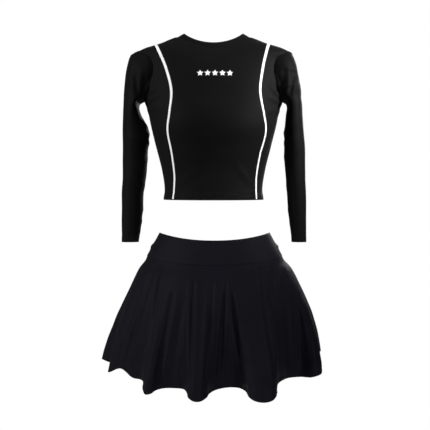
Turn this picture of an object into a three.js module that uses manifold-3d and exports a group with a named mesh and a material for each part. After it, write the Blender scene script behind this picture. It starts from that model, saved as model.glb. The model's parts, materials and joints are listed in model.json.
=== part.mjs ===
// Cheer uniform: a long-sleeved fitted crop top and a separate flared skirt, standing as they do when worn.
// Millimetres, +Z up. The front faces -Y and +X is the wearer's left. z = 0 is the wearer's waist line.
import * as THREE from "three";
import { mergeGeometries, mergeVertices } from "three/addons/utils/BufferGeometryUtils.js";
import Module from "manifold-3d";

const wasm = await Module();
wasm.setup();

// ---------- Driving dimensions ----------

const GAP = 0.3; // clearance between sewn pieces
const TRIM_GAP = 0.45; // clearance under trim laid on curved fabric
const KNIT = 1.6; // body fabric, as drawn
const TAPE = 0.8; // trim, labels and inner tapes

// Crop top: height of each level, half width, depth forwards and depth backwards.
const TOP_HEM = 85;
const TOP_LEVELS = [
  { z: TOP_HEM, side: 120, front: 91, back: 87 },
  { z: 109, side: 118, front: 89, back: 84 },
  { z: 157, side: 124.5, front: 93, back: 83 },
  { z: 206, side: 137, front: 108, back: 88 },
  { z: 250, side: 148, front: 123, back: 95 },
  { z: 290, side: 157, front: 120, back: 99 },
  { z: 325, side: 166, front: 109, back: 100 },
  { z: 387, side: 168, front: 91, back: 92 },
  { z: 415, side: 177, front: 78, back: 83 },
  { z: 435, side: 192, front: 66, back: 75 },
  { z: 447, side: 172, front: 59, back: 70 },
  { z: 460, side: 131, front: 50, back: 62 },
  { z: 472, side: 101, front: 42, back: 50 },
  { z: 477, side: 84, front: 37, back: 45 },
  { z: 480, side: 62, front: 32, back: 40 },
];

// Neckband: its lower and its upper edge, each an oval that dips at the front and a little at the back.
const NECK_LOW = { side: 89, front: 64, back: 64, z: 475.5, dipFront: 42.5, dipBack: 14 };
const NECK_HIGH = { side: 71.5, front: 57, back: 60, z: 486, dipFront: 35, dipBack: 8 };
const NECK_WALL = 2.2; // folded double

// Princess seams: distance from the centre line at each height, from the hem to the shoulder.
const SEAM_LINE = [
  [TOP_HEM - 6, 96.5],
  [110, 95],
  [140, 95.5],
  [190, 104],
  [245, 113],
  [283, 108],
  [331, 102],
  [390, 113],
  [440, 128],
  [470, 140],
  [500, 150],
];
const STRIP_WIDTH = 8;

// Shoulder joint and sleeve.
const SHOULDER = { x: 160, z: 387 };
const CAP_RADIUS = 60;
const CAP_DEPTH = 50;
const CAP_ROOM = 0.8; // between the sleeve head and the armhole, so that the sleeve can turn
const CUFF_END = -17;
// Sleeve levels: height, inner edge, outer edge, half depth.
const SLEEVE_LEVELS = [
  { z: CUFF_END, inner: 186, outer: 222.5, depth: 26 },
  { z: 12, inner: 182, outer: 222.5, depth: 28 },
  { z: 60, inner: 176.5, outer: 222.5, depth: 31 },
  { z: 109, inner: 173, outer: 222, depth: 34 },
  { z: 157, inner: 168, outer: 221, depth: 37 },
  { z: 206, inner: 165, outer: 219.5, depth: 39 },
  { z: 254, inner: 167, outer: 217, depth: 42 },
  { z: 290, inner: 174, outer: 215, depth: 44 },
  { z: 314, inner: 178, outer: 214, depth: 45 },
  { z: 322, inner: 174, outer: 214, depth: 45.5 },
  { z: 329, inner: 150, outer: 213.5, depth: 46 },
  { z: 345, inner: 118.5, outer: 213, depth: 47 },
  { z: 366, inner: 104.5, outer: 211, depth: 48 },
  { z: SHOULDER.z, inner: 101, outer: 208, depth: 49 },
  { z: 411, inner: 105, outer: 203.5, depth: 49 },
  { z: 423, inner: 113, outer: 200.5, depth: 49 },
  { z: 438, inner: 130, outer: 198, depth: 49 },
];
const CUFF_CLEARANCE = 10; // between a sleeve and the skirt beside it
const HEAD_TUCK = 4; // seam allowance of the sleeve head, inside the armhole
const CUFF_HEM = 18; // turned-in hem of the cuff
const TOP_HEM_HEIGHT = 22; // elastic in the hem of the top

// Row of stars on the chest.
const STAR_COUNT = 5;
const STAR_PITCH = 17;
const STAR_RADIUS = 7.6;
const STAR_Z = 372;

// Skirt: waistband (a shaped yoke) and flared panels.
const BAND_TOP = { side: 133, front: 92, back: 90, z: 4, dipFront: 16, dipBack: 22 };
const BAND_HEIGHT = 53;
const BAND_LOW = { side: 163, front: 114, back: 112, z: BAND_TOP.z - BAND_HEIGHT, dipFront: 16, dipBack: 16 };
const BAND_ELASTIC = 32;
const BAND_SEAM = 0.7; // between the waistband and the flared panels
const SKIRT_WALL = 1.2;
const SKIRT_HEM = -333;
const HEM_WAVE = 6; // how much lower each flare hangs than the hollow beside it
const FLARES = 11;
const FLARE_DEPTH = 25;
const FIRST_FLARE = THREE.MathUtils.degToRad(-100); // a flare just to the wearer's right of the centre front
// Skirt levels: height, half width, depth forwards, depth backwards.
const SKIRT_LEVELS = [
  { z: BAND_LOW.z, side: BAND_LOW.side, front: BAND_LOW.front, back: BAND_LOW.back },
  { z: -85, side: 185, front: 130, back: 127 },
  { z: -133, side: 205, front: 147, back: 143 },
  { z: -206, side: 228, front: 171, back: 166 },
  { z: -278, side: 241, front: 188, back: 183 },
  { z: SKIRT_HEM, side: 244, front: 196, back: 190 },
];

// ---------- Materials ----------

function knit() {
  return new THREE.MeshStandardMaterial({ color: 0x1b1b1f, roughness: 0.72, metalness: 0 });
}

function skirtKnit() {
  return new THREE.MeshStandardMaterial({ color: 0x15151d, roughness: 0.68, metalness: 0 });
}

function whiteTape() {
  return new THREE.MeshStandardMaterial({ color: 0xe9e9e6, roughness: 0.6, metalness: 0 });
}

function elastic() {
  return new THREE.MeshStandardMaterial({ color: 0x26262a, roughness: 0.85, metalness: 0 });
}

// ---------- Surfaces ----------

// Smooth measures between the levels of a garment.
function between(levels, keys) {
  const rising = [...levels].sort((a, b) => a.z - b.z);
  const heights = rising.map((level) => level.z);
  const values = rising.flatMap((level) => keys.map((key) => level[key]));
  const curve = new THREE.CubicInterpolant(heights, values, keys.length);
  const low = heights[0];
  const high = heights[heights.length - 1];
  return (z) => {
    const found = curve.evaluate(THREE.MathUtils.clamp(z, low, high));
    return Object.fromEntries(keys.map((key, i) => [key, found[i]]));
  };
}

// A point of an oval whose front and back depths differ. The angle runs from +X towards +Y.
function onOval(oval, angle, z) {
  const depth = Math.sin(angle) < 0 ? oval.front : oval.back;
  return new THREE.Vector3(oval.side * Math.cos(angle), depth * Math.sin(angle), z);
}

// Height of an oval edge that dips at the front and at the back.
function edgeHeight(edge, angle) {
  const turn = Math.abs(Math.sin(angle));
  return edge.z - (Math.sin(angle) < 0 ? edge.dipFront : edge.dipBack) * turn ** 1.5;
}

// Oval edge part of the way between a low and a high one.
function edgePoint(low, high, angle, share) {
  const mix = (key) => THREE.MathUtils.lerp(low[key], high[key], share);
  const oval = { side: mix("side"), front: mix("front"), back: mix("back") };
  const z = THREE.MathUtils.lerp(edgeHeight(low, angle), edgeHeight(high, angle), share);
  return onOval(oval, angle, z);
}

const topAt = between(TOP_LEVELS, ["side", "front", "back"]);
const sleeveAt = between(SLEEVE_LEVELS, ["inner", "outer", "depth"]);
const skirtAt = between(SKIRT_LEVELS, ["side", "front", "back"]);

function topSurface(angle, z) {
  return onOval(topAt(z), angle, z);
}

function neckSurface(angle, share) {
  return edgePoint(NECK_LOW, NECK_HIGH, angle, share);
}

function bandSurface(angle, share) {
  return edgePoint(BAND_LOW, BAND_TOP, angle, share);
}

// share 0 at the hem, 1 at the waistband seam.
function skirtSurface(angle, share) {
  const wave = Math.cos(FLARES * (angle - FIRST_FLARE));
  const top = edgeHeight(BAND_LOW, angle) - BAND_SEAM;
  const hem = SKIRT_HEM - HEM_WAVE * wave;
  const z = THREE.MathUtils.lerp(hem, top, share);
  const level = THREE.MathUtils.lerp(SKIRT_HEM, BAND_LOW.z, share);
  const oval = skirtAt(level);
  const swing = FLARE_DEPTH * Math.max(0, 1 - share) ** 1.25 * wave;
  return onOval({ side: oval.side + swing, front: oval.front + swing, back: oval.back + swing }, angle, z);
}

// How far out the skirt reaches beside the sleeves at a height.
function skirtReach(z) {
  if (z > BAND_TOP.z) return 0;
  if (z > BAND_LOW.z) return BAND_LOW.side;
  return skirtAt(z).side + FLARE_DEPTH;
}

// Sleeve of the wearer's left: the angle runs round it, z falls from the crown to the cuff.
function sleeveSurface(angle, z) {
  let ring = sleeveAt(z);
  if (z > SHOULDER.z) {
    const rise = (z - SHOULDER.z) / CAP_RADIUS;
    const share = Math.sqrt(Math.max(0, 1 - rise * rise));
    const reach = CAP_RADIUS * share;
    const outer = Math.min(SHOULDER.x + reach, ring.outer);
    ring = { inner: SHOULDER.x - reach + 1, outer, depth: ring.depth * share };
  }
  const half = (ring.outer - ring.inner) / 2;
  const centre = Math.max(ring.inner, skirtReach(z) + CUFF_CLEARANCE) + half;
  return new THREE.Vector3(centre + half * Math.cos(angle), ring.depth * Math.sin(angle), z);
}

// Unit vector out of a surface.
function outOf(surface, angle, level, step) {
  const along = surface(angle + 0.01, level).sub(surface(angle - 0.01, level));
  const up = surface(angle, level + step).sub(surface(angle, level - step));
  return along.cross(up).normalize();
}

// ---------- Solids ----------

// The closed solid of a geometry whose vertices `place` moves to where they belong.
function solid(geometry, place = null) {
  const shape = geometry.clone();
  shape.deleteAttribute("normal");
  shape.deleteAttribute("uv");
  const position = shape.getAttribute("position");
  const p = new THREE.Vector3();
  if (place) {
    for (let i = 0; i < position.count; i += 1) {
      const q = place(p.fromBufferAttribute(position, i));
      position.setXYZ(i, q.x, q.y, q.z);
    }
  }
  const merged = mergeVertices(shape, 1e-3);
  const triVerts = new Uint32Array(merged.index.array);
  const made = () =>
    new wasm.Manifold(new wasm.Mesh({ numProp: 3, vertProperties: merged.getAttribute("position").array, triVerts }));
  let body = made();
  if (body.volume() < 0) {
    for (let i = 0; i < triVerts.length; i += 3) {
      [triVerts[i + 1], triVerts[i + 2]] = [triVerts[i + 2], triVerts[i + 1]];
    }
    body = made();
  }
  return body;
}

// A surface of revolution turned inside out, with its faces still split the same way.
function flipped(geometry) {
  const index = geometry.index;
  for (let i = 0; i < index.count; i += 3) {
    const second = index.getX(i + 1);
    index.setX(i + 1, index.getX(i + 2));
    index.setX(i + 2, second);
  }
  return geometry;
}

// Both walls of a cloth tube, closed at its lower end and, unless it has a crown, at its upper end too.
// The outer wall is drawn at radius 2 and the inner one at 1, with the number of the level as height.
function tubeWalls(count, around, crown = false) {
  const wall = (radius, top) => {
    const profile = Array.from({ length: count }, (_, i) => new THREE.Vector2(radius, i));
    return new THREE.LatheGeometry(crown ? [...profile, new THREE.Vector2(0, top)] : profile, around);
  };
  const rim = (r0, r1, i) => new THREE.LatheGeometry([new THREE.Vector2(r0, i), new THREE.Vector2(r1, i)], around);
  const pieces = [wall(2, count), flipped(wall(1, count + 1)), rim(1, 2, 0)];
  if (!crown) pieces.push(rim(2, 1, count - 1));
  return mergeGeometries(pieces);
}

// A ring of cloth between two distances out of a surface, at the given levels. levelEnd makes the lowest
// edge face straight down.
function ring(surface, levels, outside, inside, around, step, levelEnd = false) {
  return solid(tubeWalls(levels.length, around), (p) => {
    const angle = Math.atan2(p.z, p.x);
    const level = levels[Math.round(p.y)];
    const distance = Math.hypot(p.x, p.z) > 1.5 ? outside : inside;
    const normal = outOf(surface, angle, level, step);
    if (levelEnd && level === levels[0]) normal.setZ(0).normalize();
    return surface(angle, level).addScaledVector(normal, distance);
  });
}

// The filled body inside a surface, closed by a point at each end.
function filled(surface, levels, outside, around, step, lowPoint, highPoint) {
  const profile = levels.map((level, i) => new THREE.Vector2(1, i));
  profile.unshift(new THREE.Vector2(0, -1));
  profile.push(new THREE.Vector2(0, levels.length));
  return solid(new THREE.LatheGeometry(profile, around), (p) => {
    const i = Math.round(p.y);
    if (i < 0) return lowPoint;
    if (i === levels.length) return highPoint;
    const angle = Math.atan2(p.z, p.x);
    return surface(angle, levels[i]).addScaledVector(outOf(surface, angle, levels[i], step), outside);
  });
}

function box(x0, x1, y0, y1, z0, z1) {
  const shape = new THREE.BoxGeometry(x1 - x0, y1 - y0, z1 - z0);
  shape.translate((x0 + x1) / 2, (y0 + y1) / 2, (z0 + z1) / 2);
  return solid(shape);
}

// Everything in front of (or behind) the side seams, with the seam clearance taken off.
function frontHalf(shift = 0) {
  return box(-500, 500, -500, -GAP / 2 - shift, -500, 600);
}

function backHalf(shift = 0) {
  return box(-500, 500, GAP / 2 + shift, 500, -500, 600);
}

// A flat outline in X and Z pushed through the front of the garment.
function throughFront(outline) {
  const shape = new THREE.ExtrudeGeometry(new THREE.Shape(outline), { depth: 200, bevelEnabled: false });
  shape.rotateX(Math.PI / 2);
  return solid(shape);
}

// The piece that is left when the scraps of a cut are taken away.
function mainPiece(body) {
  return body.decompose().sort((a, b) => b.volume() - a.volume())[0];
}

function mesh(name, body, material) {
  const made = mainPiece(body).getMesh();
  const shape = new THREE.BufferGeometry();
  shape.setAttribute("position", new THREE.BufferAttribute(made.vertProperties, 3));
  shape.setIndex(new THREE.BufferAttribute(made.triVerts, 1));
  shape.computeVertexNormals();
  const piece = new THREE.Mesh(shape, material);
  piece.name = name;
  return piece;
}

function mirrored(body) {
  return body.mirror([1, 0, 0]);
}

// ---------- Crop top ----------

const HEM_ELASTIC_TOP = TOP_HEM + 1 + TOP_HEM_HEIGHT;
const TOP_ROWS = [TOP_HEM, HEM_ELASTIC_TOP, 157, 206, 250, 290, 325, 358, 387, 410, 426, 435, 441, 448, 456, 465, 474, 480];
const TOP_AROUND = 32;
const AXIS_LOW = new THREE.Vector3(0, 0, TOP_HEM - 2);
const AXIS_HIGH = new THREE.Vector3(0, 0, 482);

function topRing(outside, inside, rows = TOP_ROWS) {
  return ring(topSurface, rows, outside, inside, TOP_AROUND, 0.5, true);
}

function topBody(outside) {
  return filled(topSurface, TOP_ROWS, outside, TOP_AROUND, 0.5, AXIS_LOW, AXIS_HIGH);
}

// The room that the sleeve head turns in.
function shoulderRoom(clearance) {
  const ball = new THREE.SphereGeometry(1, 24, 16);
  ball.rotateX(Math.PI / 2);
  const across = CAP_RADIUS + clearance;
  ball.scale(across, CAP_DEPTH + clearance, across);
  ball.translate(SHOULDER.x, 0, SHOULDER.z);
  return solid(ball);
}

// What the neckband takes out of the body of the top.
function neckRoom() {
  const rows = [-0.3, 0, 0.5, 1, 2.5];
  const low = new THREE.Vector3(0, 0, NECK_LOW.z - NECK_LOW.dipFront - 8);
  const high = new THREE.Vector3(0, 0, NECK_HIGH.z + 60);
  return filled(neckSurface, rows, GAP, TOP_AROUND, 0.01, low, high);
}

function neckband() {
  return ring(neckSurface, [0, 0.5, 1], 0, -NECK_WALL, TOP_AROUND, 0.01);
}

// The princess seam line of the wearer's left, moved sideways.
function seamLine(shift) {
  const curve = new THREE.SplineCurve(SEAM_LINE.map(([z, x]) => new THREE.Vector2(x, z)));
  return curve.getSpacedPoints(22).map((p, i) => {
    const t = curve.getTangentAt(i / 22);
    return new THREE.Vector2(p.x + t.y * shift, p.y - t.x * shift);
  });
}

function centrePrism(shift) {
  const left = seamLine(shift);
  const right = left.map((p) => new THREE.Vector2(-p.x, p.y)).reverse();
  return throughFront([...left, ...right]);
}

function stripPrism() {
  return throughFront([...seamLine(STRIP_WIDTH / 2), ...seamLine(-STRIP_WIDTH / 2).reverse()]);
}

function starPrism(x, z) {
  const outline = [];
  for (let i = 0; i < 10; i += 1) {
    const radius = i % 2 ? STAR_RADIUS * 0.45 : STAR_RADIUS;
    const angle = Math.PI / 2 + (i * Math.PI) / 5;
    outline.push(new THREE.Vector2(x + radius * Math.cos(angle), z + radius * Math.sin(angle)));
  }
  return throughFront(outline);
}

function cropTop(group) {
  const armhole = shoulderRoom(CAP_ROOM);
  const rooms = armhole.add(mirrored(armhole)).add(neckRoom());
  const shell = topRing(0, -KNIT).subtract(rooms);
  const front = shell.intersect(frontHalf());
  const sideFront = front.subtract(centrePrism(GAP / 2)).intersect(box(0, 400, -300, 0, 0, 600));
  group.add(mesh("front_centre_panel", front.intersect(centrePrism(-GAP / 2)), knit()));
  group.add(mesh("side_front_panel_left", sideFront, knit()));
  group.add(mesh("side_front_panel_right", mirrored(sideFront), knit()));
  group.add(mesh("back_panel", shell.intersect(backHalf()), knit()));
  group.add(mesh("neckband", neckband(), knit()));

  const trim = topRing(TRIM_GAP + TAPE, TRIM_GAP).subtract(neckRoom()).intersect(frontHalf());
  const strip = trim.intersect(stripPrism()).intersect(box(0, 400, -300, 0, TOP_HEM, 600));
  group.add(mesh("seam_strip_left", strip, whiteTape()));
  group.add(mesh("seam_strip_right", mirrored(strip), whiteTape()));
  for (let i = 0; i < STAR_COUNT; i += 1) {
    const x = (i - (STAR_COUNT - 1) / 2) * STAR_PITCH;
    group.add(mesh(`chest_star_${i + 1}`, trim.intersect(starPrism(x, STAR_Z)), whiteTape()));
  }
}

// Tapes, elastic and labels sewn inside the top.
function topInsides(group) {
  const inner = -KNIT - GAP;
  const lining = topRing(inner, inner - TAPE);
  const rooms = shoulderRoom(2).add(mirrored(shoulderRoom(2))).add(neckRoom());
  const shoulder = lining.subtract(rooms).intersect(box(96, 176, -5, 5, 430, 600));
  group.add(mesh("shoulder_tape_left", shoulder, elastic()));
  group.add(mesh("shoulder_tape_right", mirrored(shoulder), elastic()));
  const hemRows = [TOP_HEM + 1, HEM_ELASTIC_TOP];
  group.add(mesh("top_hem_elastic", topRing(inner, inner - TAPE, hemRows), elastic()));
  const neckInner = -NECK_WALL - GAP;
  const neckTape = ring(neckSurface, [0, 0.5], neckInner, neckInner - TAPE, TOP_AROUND, 0.01);
  group.add(mesh("back_neck_tape", neckTape.intersect(box(-66, 66, 8, 200, 400, 600)), elastic()));
  const label = lining.intersect(box(-17, 17, 20, 200, 395, 440));
  group.add(mesh("size_label", label, whiteTape()));
  const careLow = HEM_ELASTIC_TOP + 17;
  const care = lining.intersect(box(50, 300, 6, 40, careLow, careLow + 40));
  group.add(mesh("care_label", care, whiteTape()));
}

// ---------- Sleeves ----------

const SLEEVE_AROUND = 20;
const CUFF_HEM_TOP = CUFF_END + 1 + CUFF_HEM;
const SLEEVE_ROWS = [
  CUFF_END, CUFF_HEM_TOP, 60, 130, 206, 254, 290, 314, 322, 329, 342, 364, 387, 408, 424, 435, 443,
];

function sleeveShell() {
  const count = SLEEVE_ROWS.length;
  return solid(tubeWalls(count, SLEEVE_AROUND, true), (p) => {
    const i = Math.round(p.y);
    if (i >= count) return new THREE.Vector3(SHOULDER.x, 0, SHOULDER.z + CAP_RADIUS - 1.2 - (i - count) * KNIT);
    const angle = Math.atan2(p.z, p.x);
    const distance = Math.hypot(p.x, p.z) > 1.5 ? 0 : -KNIT;
    const normal = outOf(sleeveSurface, angle, SLEEVE_ROWS[i], 0.5);
    if (i === 0) normal.setZ(0).normalize();
    return sleeveSurface(angle, SLEEVE_ROWS[i]).addScaledVector(normal, distance);
  });
}

function sleeves(group) {
  const whole = sleeveShell();
  const tucked = whole.intersect(shoulderRoom(0)).subtract(topBody(-HEAD_TUCK));
  const sleeve = whole.subtract(topBody(GAP)).add(tucked);
  group.add(mesh("sleeve_left", sleeve, knit()));
  group.add(mesh("sleeve_right", mirrored(sleeve), knit()));
  const rows = [CUFF_END + 1, CUFF_HEM_TOP];
  const inner = -KNIT - GAP;
  const hem = ring(sleeveSurface, rows, inner, inner - TAPE, SLEEVE_AROUND, 0.5);
  group.add(mesh("cuff_hem_left", hem, knit()));
  group.add(mesh("cuff_hem_right", mirrored(hem), knit()));
}

// ---------- Skirt ----------

const BAND_AROUND = 36;
const SKIRT_AROUND = FLARES * 8;
const SKIRT_ROWS = [0, 0.2, 0.45, 0.75, 1];

function bandRing(outside, inside, from, to) {
  return ring(bandSurface, [from, (from + to) / 2, to], outside, inside, BAND_AROUND, 0.01);
}

function skirt(group) {
  const band = bandRing(0, -KNIT, 0, 1);
  group.add(mesh("waistband_front", band.intersect(frontHalf()), skirtKnit()));
  group.add(mesh("waistband_back", band.intersect(backHalf()), skirtKnit()));
  const first = -KNIT - GAP;
  const second = first - TAPE - GAP;
  const low = 1 - BAND_ELASTIC / BAND_HEIGHT;
  group.add(mesh("waist_elastic", bandRing(first, first - TAPE, low, 0.97), elastic()));
  const facing = bandRing(second, second - TAPE, 0.02, 0.98);
  group.add(mesh("waistband_facing_front", facing.intersect(frontHalf()), skirtKnit()));
  group.add(mesh("waistband_facing_back", facing.intersect(backHalf()), skirtKnit()));
  const label = bandRing(second - TAPE - GAP, second - 2 * TAPE - GAP, 0.2, 0.8);
  group.add(mesh("skirt_label", label.intersect(box(-16, 16, 20, 300, -200, 100)), whiteTape()));

  const flared = ring(skirtSurface, SKIRT_ROWS, 0, -SKIRT_WALL, SKIRT_AROUND, 0.01);
  group.add(mesh("skirt_front_panel", flared.intersect(frontHalf()), skirtKnit()));
  group.add(mesh("skirt_back_panel", flared.intersect(backHalf()), skirtKnit()));
}

const uniform = new THREE.Group();
uniform.name = "cheer_uniform";
cropTop(uniform);
topInsides(uniform);
sleeves(uniform);
skirt(uniform);

export default uniform;
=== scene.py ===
import bpy
import json
import math
import numpy as np
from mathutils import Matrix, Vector


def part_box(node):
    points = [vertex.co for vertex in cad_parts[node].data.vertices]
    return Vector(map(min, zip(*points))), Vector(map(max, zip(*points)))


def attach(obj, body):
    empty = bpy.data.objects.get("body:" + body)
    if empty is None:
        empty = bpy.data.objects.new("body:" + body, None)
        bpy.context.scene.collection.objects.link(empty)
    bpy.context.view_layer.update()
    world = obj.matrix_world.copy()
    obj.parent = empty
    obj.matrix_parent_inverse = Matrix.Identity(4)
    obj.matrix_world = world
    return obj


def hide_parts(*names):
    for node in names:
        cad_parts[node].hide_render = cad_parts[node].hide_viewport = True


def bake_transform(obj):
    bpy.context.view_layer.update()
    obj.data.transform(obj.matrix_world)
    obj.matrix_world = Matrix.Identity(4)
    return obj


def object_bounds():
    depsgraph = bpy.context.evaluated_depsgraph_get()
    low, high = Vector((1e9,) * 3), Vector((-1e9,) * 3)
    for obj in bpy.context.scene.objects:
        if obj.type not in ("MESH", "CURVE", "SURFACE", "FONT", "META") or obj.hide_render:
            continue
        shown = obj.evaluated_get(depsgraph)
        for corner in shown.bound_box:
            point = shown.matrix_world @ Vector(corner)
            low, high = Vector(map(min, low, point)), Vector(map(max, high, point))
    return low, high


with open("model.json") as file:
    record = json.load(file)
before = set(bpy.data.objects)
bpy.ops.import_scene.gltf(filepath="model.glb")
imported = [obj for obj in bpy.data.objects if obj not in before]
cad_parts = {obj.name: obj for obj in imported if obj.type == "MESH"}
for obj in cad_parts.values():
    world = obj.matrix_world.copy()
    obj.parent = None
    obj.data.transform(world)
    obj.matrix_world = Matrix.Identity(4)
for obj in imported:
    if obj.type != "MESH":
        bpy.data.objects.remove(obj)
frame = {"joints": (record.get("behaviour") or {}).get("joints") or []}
cad_low, cad_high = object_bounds()

# ---------- Measures ----------

MM = 0.001
TAU = 2 * math.pi
FABRIC = 1.0 * MM
TAPE = 0.7 * MM
TOP_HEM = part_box("front_centre_panel")[0].z
SHOULDER_X, _, SHOULDER_Z = frame["joints"][0]["pos_m"]
TOP_TURN = 3.5 * MM  # the front of the top sits a little towards the wearer's left
SKIRT_SET = 2.5 * MM  # and so does the skirt
STAR_BOXES = [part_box(f"chest_star_{i}") for i in range(1, 6)]

# Height, then half width, depth forwards and depth backwards, in mm.
TOP_ROWS = [
    (85, 120, 91, 87), (109, 118, 89, 84), (157, 124.5, 93, 83), (206, 137, 108, 88), (250, 148, 123, 95),
    (290, 157, 120, 99), (325, 166, 109, 100), (387, 168, 91, 92), (415, 177, 78, 83), (435, 192, 66, 75),
    (447, 172, 59, 70), (460, 131, 50, 62), (472, 101, 42, 50), (477, 84, 37, 45), (480, 62, 32, 40),
]
# Height, and the seam's distance from the middle of the front.
SEAM_LEFT_ROWS = [
    (79, 96.7), (110, 96.2), (140, 97), (190, 105), (245, 118.5), (283, 112), (331, 104), (390, 111),
    (440, 123), (470, 133), (500, 142),
]
SEAM_RIGHT_ROWS = [
    (79, 97.6), (110, 95.5), (140, 94.6), (190, 100), (245, 109), (283, 104), (331, 100), (390, 114),
    (440, 135), (470, 149), (500, 160),
]
# Height, inner edge, outer edge, half depth.
SLEEVE_RIGHT_ROWS = [
    (-17, 181, 221.5, 26), (12, 176, 221.5, 28), (60, 171, 221.5, 31), (108, 168, 221, 34),
    (133, 164, 219.5, 36), (157, 161, 219, 37), (205, 158.5, 219, 40), (242, 156, 219, 41.5),
    (266, 162, 219, 43), (290, 175, 218.5, 44), (314, 180, 217, 45), (322, 175, 216.8, 45.5),
    (329, 150, 216.6, 46), (345, 118.5, 216.3, 48), (366, 104.5, 214.5, 49.5), (387, 101, 212, 50.5),
    (411, 105, 207.5, 50.5), (423, 113, 204.5, 50.5), (438, 130, 199, 50.5),
]
SLEEVE_LEFT_ROWS = [
    (-17, 189, 223.5, 26), (12, 186, 223.5, 28), (60, 180, 223.5, 31), (108, 177, 223, 33),
    (133, 175, 221.5, 35), (157, 173, 221.3, 36), (205, 170.5, 221, 38), (242, 172, 218.5, 40),
    (266, 173, 216.5, 42), (290, 175, 214.5, 43), (314, 178, 214, 44.5), (322, 174, 213, 45.5),
    (329, 150, 212, 46), (345, 118.5, 211.5, 48), (366, 104.5, 208.5, 49.5), (387, 101, 204.5, 50.5),
    (411, 105, 199.5, 50.5), (423, 113, 195, 50.5), (438, 130, 190, 50.5),
]
# Height, and how far the outer half of the sleeve's section reaches from its deepest point.
REACH_ROWS = [
    (-17, 20), (60, 24), (133, 28), (205, 30), (266, 29), (290, 27), (310, 28), (329, 33), (345, 38),
    (366, 44), (387, 52),
]
NECK_LOW = dict(side=89, front=64, back=64, z=475.5, dip_front=42.5, dip_back=14)
NECK_HIGH = dict(side=71.5, front=57, back=60, z=486, dip_front=35, dip_back=8)
BAND_TOP = dict(side=133, front=92, back=90, z=6, dip_front=17.5, dip_back=23)
BAND_LOW = dict(side=163, front=114, back=112, z=-49, dip_front=16, dip_back=16)
SKIRT_ROWS = [
    (-333, 244, 196, 190), (-278, 241, 188, 183), (-206, 228, 171, 166), (-133, 205, 147, 143),
    (-85, 185, 130, 127), (-49, 163, 114, 112),
]
# The hem in plan, round from the wearer's right side over the front to the left and back:
# x, y, z in mm, the angle at the waistband seam that it hangs from, and how far down its fold begins.
HEM_FRONT = [
    (-275, 16, -303, -186, 0.10), (-246, -20, -303, -172, 0.12), (-248, -56, -319, -164, 0.15),
    (-216, -78, -306, -153, 0.15), (-186, -100, -322, -146, 0.20), (-166, -116, -323, -139, 0.25),
    (-158, -134, -325, -135, 0.25), (-157, -160, -335, -132, 0.25), (-149, -177, -341, -127, 0.20),
    (-138, -177, -339, -124, 0.20), (-128, -168, -334, -121.5, 0.22), (-110, -161, -331, -117, 0.22),
    (-88, -160, -331, -113, 0.20), (-68, -166, -332, -109.5, 0.16), (-59, -186, -335, -108, 0.15),
    (-55, -205, -341, -105, 0.14), (-44, -215, -346, -101, 0.12), (-30, -215, -346, -97, 0.12),
    (-18, -205, -341, -92, 0.14), (-11, -182, -337, -88, 0.14), (6, -160, -334, -83.5, 0.14),
    (30, -151, -332, -81, 0.16), (52, -153, -332, -79.5, 0.20), (66, -172, -334, -78, 0.22),
    (74, -200, -341, -76, 0.22), (86, -213, -346, -71, 0.16), (106, -217, -348, -63, 0.10),
    (122, -213, -345, -56, 0.08), (131, -200, -340, -52, 0.08), (135, -165, -335, -48, 0.08),
    (144, -112, -331, -43, 0.08), (170, -74, -329, -35, 0.08), (198, -66, -328, -28, 0.10),
    (224, -88, -324, -21, 0.15), (244, -84, -318, -15, 0.15), (248, -50, -308, -9, 0.15),
    (242, -6, -292, -2, 0.15), (262, 44, -288, 9, 0.15), (240, 84, -298, 20, 0.15),
]
BACK_CRESTS = 5


def table(rows, scale=MM):
    """Smooth measures between rows of (height, values...)."""
    rows = np.array(sorted(rows), float) * scale
    z, v = rows[:, 0], rows[:, 1:]
    secant = np.diff(v, axis=0) / np.diff(z)[:, None]
    slope = np.zeros_like(v)
    slope[1:-1] = (secant[1:] + secant[:-1]) / 2

    def at(q):
        q = np.clip(np.asarray(q, float), z[0], z[-1])
        i = np.clip(np.searchsorted(z, q, side="right") - 1, 0, len(z) - 2)
        h = (z[i + 1] - z[i])[..., None]
        p = ((q - z[i]) / h[..., 0])[..., None]
        made = (2 * p**3 - 3 * p**2 + 1) * v[i] + (p**3 - 2 * p**2 + p) * h * slope[i]
        made += (-2 * p**3 + 3 * p**2) * v[i + 1] + (p**3 - p**2) * h * slope[i + 1]
        return np.moveaxis(made, -1, 0)

    return at


top_at, skirt_at = table(TOP_ROWS), table(SKIRT_ROWS)
seam_at = {1: table(SEAM_LEFT_ROWS), -1: table(SEAM_RIGHT_ROWS)}
sleeve_at = {1: table(SLEEVE_LEFT_ROWS), -1: table(SLEEVE_RIGHT_ROWS)}
sleeve_reach = table(REACH_ROWS)
CAP = {1: 0.058, -1: 0.062}


def oval(side, front, back, a, z):
    return np.stack([side * np.cos(a), np.where(np.sin(a) < 0, front, back) * np.sin(a), z + 0 * a], -1)


def top_surface(a, z):
    return oval(*top_at(z), a, z)


def edge(low, high, a, share):
    mix = lambda k: (low[k] + (high[k] - low[k]) * share) * MM
    turn = np.abs(np.sin(a)) ** 1.5
    z = mix("z") - np.where(np.sin(a) < 0, mix("dip_front"), mix("dip_back")) * turn
    return oval(mix("side"), mix("front"), mix("back"), a, z)


def neck_surface(a, share):
    return edge(NECK_LOW, NECK_HIGH, a, share)


def band_surface(a, share):
    p = edge(BAND_LOW, BAND_TOP, a, share)
    bump = 3.2 * MM * np.exp(-(((share - 0.42) / 0.10) ** 2)) * np.exp(-((np.sin(a) / 0.16) ** 2))
    p[..., 0] += np.sign(np.cos(a)) * bump + SKIRT_SET
    return p


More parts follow.
